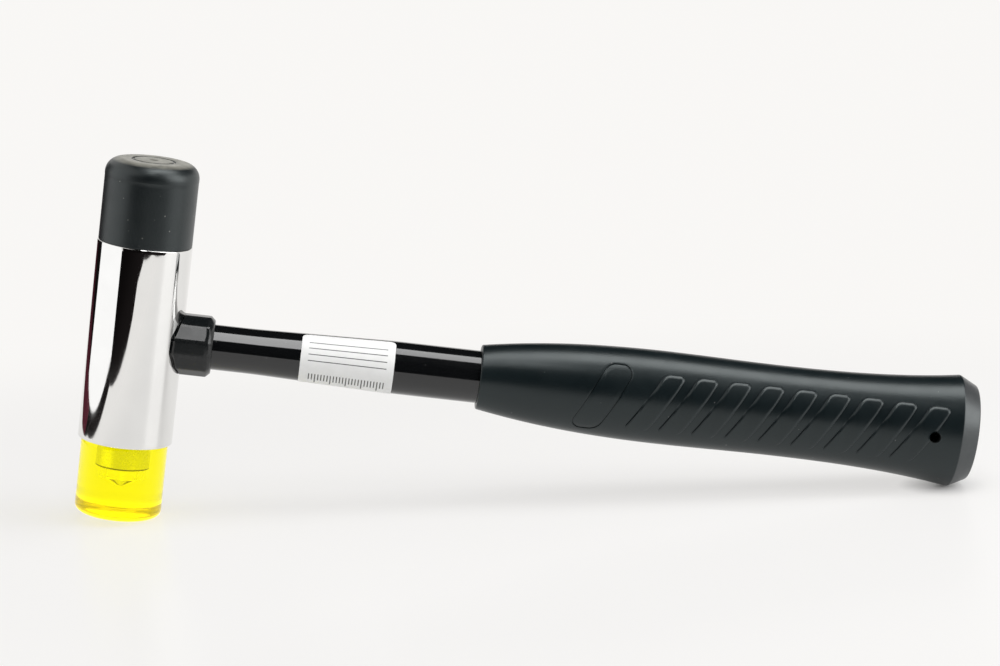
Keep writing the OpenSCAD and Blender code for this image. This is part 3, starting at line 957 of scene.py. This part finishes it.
def yellow_finish():
    """Clear yellow plastic with a painted glow: a faint yellow emission everywhere, and a stronger one in a band
    of the rounded edge near the striking end, which stands in for the light that gathers there. Shadow rays pass
    it tinted, so that it glows on the floor as the real one does."""
    material, tree = new_finish("clear_yellow", Transmission_Weight=0.96, IOR=1.49,
                                Specular_Tint=YELLOW_LIGHT, Emission_Strength=1.0)
    striking_end = CROSSING - MM * (BARREL_BOTTOM + YELLOW_L) * HEAD_AXIS
    from_end = vector(tree, "SUBTRACT", object_place(tree), striking_end.tolist())
    height = vector(tree, "DOT_PRODUCT", from_end, HEAD_AXIS.tolist())
    radius = vector(tree, "LENGTH", vector(tree, "CROSS_PRODUCT", from_end, HEAD_AXIS.tolist()))
    # Painted glow: the emission rises towards the outer rounded edge close to the striking end
    low = ramp(tree, height, 3.2 * MM, 1.6 * MM)
    outer = ramp(tree, radius, (YELLOW_R - 2.6) * MM, (YELLOW_R - 1.2) * MM)
    glow = blend(tree, product(tree, low, outer), (0.036, 0.033, 0.0), (0.28, 0.20, 0.0))
    tree.links.new(glow, principled(tree).inputs["Emission Color"])
    depth = add(tree, "VolumeAbsorption", {"Color": YELLOW_LIGHT, "Density": 40.0})
    tree.links.new(depth.outputs[0], tree.nodes["Material Output"].inputs["Volume"])
    clear = add(tree, "BsdfTransparent", {"Color": YELLOW_SHADOW})
    show_mix(tree, add(tree, "LightPath").outputs["Is Shadow Ray"], clear)
    dye = blend(tree, patchy(tree, 60.0), (0.99, 0.96, 0.001), (1.0, 0.98, 0.002))
    return cover(material, dye, patchy(tree, 180.0, 0.0, 0.03))


def between(tree, value, low, high):
    """1 where a value lies between two limits."""
    return product(tree, math(tree, "GREATER_THAN", value, low), math(tree, "LESS_THAN", value, high))


def stripes(tree, value, count, width):
    """1 on each of so many stripes, whose width is a share of their spacing."""
    return math(tree, "LESS_THAN", math(tree, "FRACT", product(tree, value, count)), width)


def paper_finish():
    """White paper with plain ruled lines and a scale of ticks, which say nothing."""
    material, tree = new_finish("label_paper", IOR=1.45)
    place = add(tree, "Attribute", attribute_name="sheet_place").outputs["Vector"]
    along, around = add(tree, "SeparateXYZ", {"Vector": place}).outputs[:2]
    lines = product(tree, stripes(tree, around, 14.0, 0.13), between(tree, around, 0.10, 0.42))
    tick = stripes(tree, along, 30.0, 0.34)
    fifth = stripes(tree, along, 6.0, 0.2)
    short = product(tree, tick, between(tree, around, 0.52, 0.62))
    tall = product(tree, tick, fifth, between(tree, around, 0.52, 0.68))
    inked = product(tree, largest(tree, lines, short, tall), between(tree, along, 0.08, 0.92))
    paper = blend(tree, patchy(tree, 300.0), (0.84, 0.84, 0.83), (0.88, 0.88, 0.87))
    printed = blend(tree, inked, paper, (0.06, 0.06, 0.065))
    return cover(material, printed, patchy(tree, 500.0, 0.45, 0.6), grain=1800.0, depth=0.00001)


def machined_finish(name, light, dark):
    """Turned metal with a brushed tone, darker in a thin ring marked where a stud's face-end chamfer starts."""
    material, tree = new_finish(name, Metallic=1.0)
    metal = blend(tree, patchy(tree, 700.0), dark, light)
    stained = blend(tree, marked(tree, "stained"), metal, (0.16, 0.15, 0.12))
    return cover(material, stained, patchy(tree, 400.0, 0.2, 0.34), grain=3000.0, depth=0.000002)


def plug_finish():
    material, tree = new_finish("plug_plastic", IOR=1.5)
    plastic = blend(tree, patchy(tree, 120.0), (0.04, 0.04, 0.042), (0.06, 0.06, 0.062))
    return cover(material, plastic, patchy(tree, 200.0, 0.4, 0.55), grain=1600.0, depth=0.00002)


STEEL = machined_finish("stud_steel", (0.79, 0.79, 0.78), (0.76, 0.76, 0.75))
BUSH = machined_finish("bush_steel", (0.46, 0.46, 0.45), (0.36, 0.36, 0.35))

dress(barrel(), "hammer", "head_body", chrome_finish())
dress(collar(), "hammer", "handle_collar", satin_finish(), sharp_angle=32)
dress(tube(), "hammer", "handle_tube", paint_finish())
dress(label(), "hammer", "label", paper_finish())
dress(grip(), "hammer", "grip", grip_finish())
dress(black_face(), "black_tip", "black_face", face_finish())
dress(stud("black_stud_thread", BARREL_TOP, 1), "black_stud", "black_face_stud", STEEL)
dress(yellow_face(), "yellow_tip", "yellow_face", yellow_finish())
dress(stud("yellow_stud_thread", -BARREL_BOTTOM, -1), "yellow_stud", "yellow_face_stud", STEEL)

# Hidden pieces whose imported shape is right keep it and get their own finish
hidden = {"tube_core_plug": STEEL, "tube_end_plug": plug_finish(), "black_face_core": BUSH}
for kept_node, finish in hidden.items():
    kept = frame["nodes"][kept_node]
    kept.data.materials.clear()
    kept.data.materials.append(finish)


# The set, in metres: a white sheet with the hammer on it, light panels, and the dark room that the chrome
# mirrors. The sheet's outline gives the chrome's mirror image its edges.
SHEET_OUTLINE = [(-0.36, 2.6), (-0.36, 0.18), (-0.49, 0.06), (-0.49, -0.31), (-0.40, -0.315), (-0.31, -0.335),
                 (-0.245, -0.37), (-0.205, -0.42), (-0.19, -0.50), (-0.11, -0.50), (0.02, -0.38),
                 (0.12, -0.21), (0.20, -0.24), (0.9, -0.6), (1.6, -0.6), (1.6, 2.6)]
WHITE = (0.945, 0.932, 0.915, 1)
# Share of painted white glow laid over the sheet close to the hammer, where it lightens the rendered shadow,
# and at the pommel's contact, where less of it leaves the contact shadow darker
NEAR_WHITE = 0.66
CONTACT_WHITE = 0.1
# The zone with less painted white, where the shadow falls, is longer than deep: distances on the sheet are
# squeezed by these shares
SHADOW_SHAPE = (0.62, 1.0, 0.0)


def flat_card(name, corners, material):
    mesh = bpy.data.meshes.new(name)
    mesh.from_pydata(corners, [], [list(range(len(corners)))])
    mesh.materials.append(material)
    card = make_object(name, mesh)
    return card


def only_in_gloss(card):
    """The card shows in reflections alone. It takes no light and casts no shadow."""
    for ray in ("camera", "diffuse", "transmission", "shadow"):
        setattr(card, "visible_" + ray, False)


def seen_ray(tree):
    """1 for the rays that show the set: camera, glossy and transmission rays."""
    path = add(tree, "LightPath").outputs
    return largest(tree, path["Is Camera Ray"], path["Is Glossy Ray"], path["Is Transmission Ray"])


def sheet_finish():
    """White sheet whose rendered shadow is lightened by a painted white glow near the hammer, with less of it at
    the pommel's contact, going over to plain white further away. Rays through the clear yellow see it plain white,
    without the shadow.
    """
    material, tree = new_finish("white_sheet", Roughness=0.32, Specular_IOR_Level=0.35,
                                Base_Color=(0.80, 0.80, 0.80, 1))
    place = object_place(tree)
    distance = vector(tree, "LENGTH", vector(tree, "MULTIPLY", place, SHADOW_SHAPE))
    away = ramp(tree, distance, 0.13, 0.32, NEAR_WHITE, kind="SMOOTHSTEP")
    # Less painted white at the pommel's contact lets the rendered contact shadow show darker
    resting_point = in_place(np.array([POMMEL, 0.0, -POMMEL_H]))
    beside = vector(tree, "DISTANCE", place, resting_point.tolist())
    open_floor = ramp(tree, beside, 0.002, 0.016, CONTACT_WHITE)
    # Painted light: transmission rays, through the clear yellow, see plain white with no shadow
    through = add(tree, "LightPath").outputs["Is Transmission Ray"]
    bright = largest(tree, product(tree, away, open_floor), through)
    glow = add(tree, "Emission", {"Color": WHITE, "Strength": 1.0})
    show_mix(tree, product(tree, bright, seen_ray(tree)), glow)
    return material


def dark_finish(name, tone):
    return new_finish(name, Roughness=1.0, Specular_IOR_Level=0.0, Base_Color=(*tone, 1))[0]


def card_corners(low, high):
    """Corners of a level or upright card between two opposite corners, in order round it."""
    first, last = np.flatnonzero(np.subtract(high, low))
    second, fourth = list(low), list(low)
    second[first] = high[first]
    fourth[last] = high[last]
    return [low, second, high, fourth]


ROOM = dark_finish("dark_room", (0.012, 0.010, 0.010))
CLOTH = dark_finish("maroon_cloth", (0.10, 0.022, 0.034))
flat_card("floor_sheet", [(x, y, 0.0) for x, y in SHEET_OUTLINE], sheet_finish())
for card_name, low, high, finish in (
        ("room_floor", (-1.8, -1.4, -0.002), (1.8, 2.6, -0.002), ROOM),
        ("room_front", (-1.8, -1.4, -0.01), (1.3, -1.4, 1.1), ROOM),
        ("room_left", (-0.72, 0.36, -0.01), (-0.72, 1.2, 0.5), ROOM),
        ("panel_back", (-0.66, -0.42, 0.0), (-0.66, 0.32, 0.62), ROOM),
        ("room_cloth", (-1.8, 0.12, -0.001), (-0.3, 2.6, -0.001), CLOTH),
        ("room_ceiling", (-0.5, -1.4, 1.1), (2.4, 3.0, 1.1), ROOM)):
    only_in_gloss(flat_card(card_name, card_corners(low, high), finish))


def placed(place, side, up, back):
    """Matrix of a lamp or camera at a place, from the directions of its own three axes."""
    turn = Matrix(np.stack([side, up, back], -1).tolist()).to_4x4()
    return Matrix.Translation(place.tolist()) @ turn


def softbox(name, place, toward, width, height, across, glow):
    """Rectangular light at a place, facing a point. Across is the direction of its width."""
    place, toward, across = (np.array(value, float) for value in (place, toward, across))
    back = (place - toward) / np.linalg.norm(place - toward)
    up = np.cross(back, across)
    up /= np.linalg.norm(up)
    side = np.cross(up, back)
    lamp = bpy.data.lights.new(name, "AREA")
    lamp.shape = "RECTANGLE"
    lamp.size = width
    lamp.size_y = height
    lamp.energy = glow * np.pi * width * height
    light = make_object(name, lamp)
    light.matrix_world = placed(place, side, up, back)
    light.visible_camera = False


softbox("softbox_over", (0.27, -0.03, 0.80), (0.27, -0.03, 0.0), 0.40, 0.42, (1.0, 0.0, 0.0), 5.2)
softbox("softbox_front", (-0.015, -0.325, 0.80), (-0.015, -0.325, 0.0), 0.13, 0.75, (1.0, 0.0, 0.0), 6.0)
softbox("panel_left", (-0.64, -0.05, 0.30), (0.0, -0.05, 0.30), 0.70, 0.60, (0.0, 1.0, 0.0), 1.16)
softbox("panel_right", (0.72, -0.32, 0.42), (0.1, -0.05, 0.10), 0.60, 0.86, (0.2, 1.0, 0.0), 3.3)

world = bpy.data.worlds.new("studio")
bpy.context.scene.world = world
world.use_nodes = True
sky = world.node_tree
sky.nodes.clear()
fill = add(sky, "Background", {"Color": (1, 1, 1, 1), "Strength": 0.28})
white = add(sky, "Background", {"Color": WHITE, "Strength": 1.0})
shown = add(sky, "MixShader", {0: seen_ray(sky), 1: fill.outputs[0], 2: white.outputs[0]})
add(sky, "OutputWorld", {"Surface": shown.outputs[0]})

# Camera: turned round the target by azimuth, elevation and roll
AIM = np.array([-0.00854, 0.0, 0.05927])
AZIMUTH, ELEVATION, ROLL = np.radians([-2.4875, 11.4016, -1.6034])
camera_back = np.array([np.sin(AZIMUTH) * np.cos(ELEVATION), -np.cos(AZIMUTH) * np.cos(ELEVATION),
                        np.sin(ELEVATION)])
level = np.cross([0.0, 0.0, 1.0], camera_back)
level /= np.linalg.norm(level)
upright = np.cross(camera_back, level)
camera_right = level * np.cos(ROLL) + upright * np.sin(ROLL)
camera_up = np.cross(camera_back, camera_right)
camera_data = bpy.data.cameras.new("camera")
camera_data.sensor_fit = "HORIZONTAL"
camera_data.sensor_width = 36.0
camera_data.lens = 105.8486
camera = make_object("camera", camera_data)
camera.matrix_world = placed(AIM + camera_back, camera_right, camera_up, camera_back)
bpy.context.scene.camera = camera

bpy.context.scene.view_settings.view_transform = "Standard"
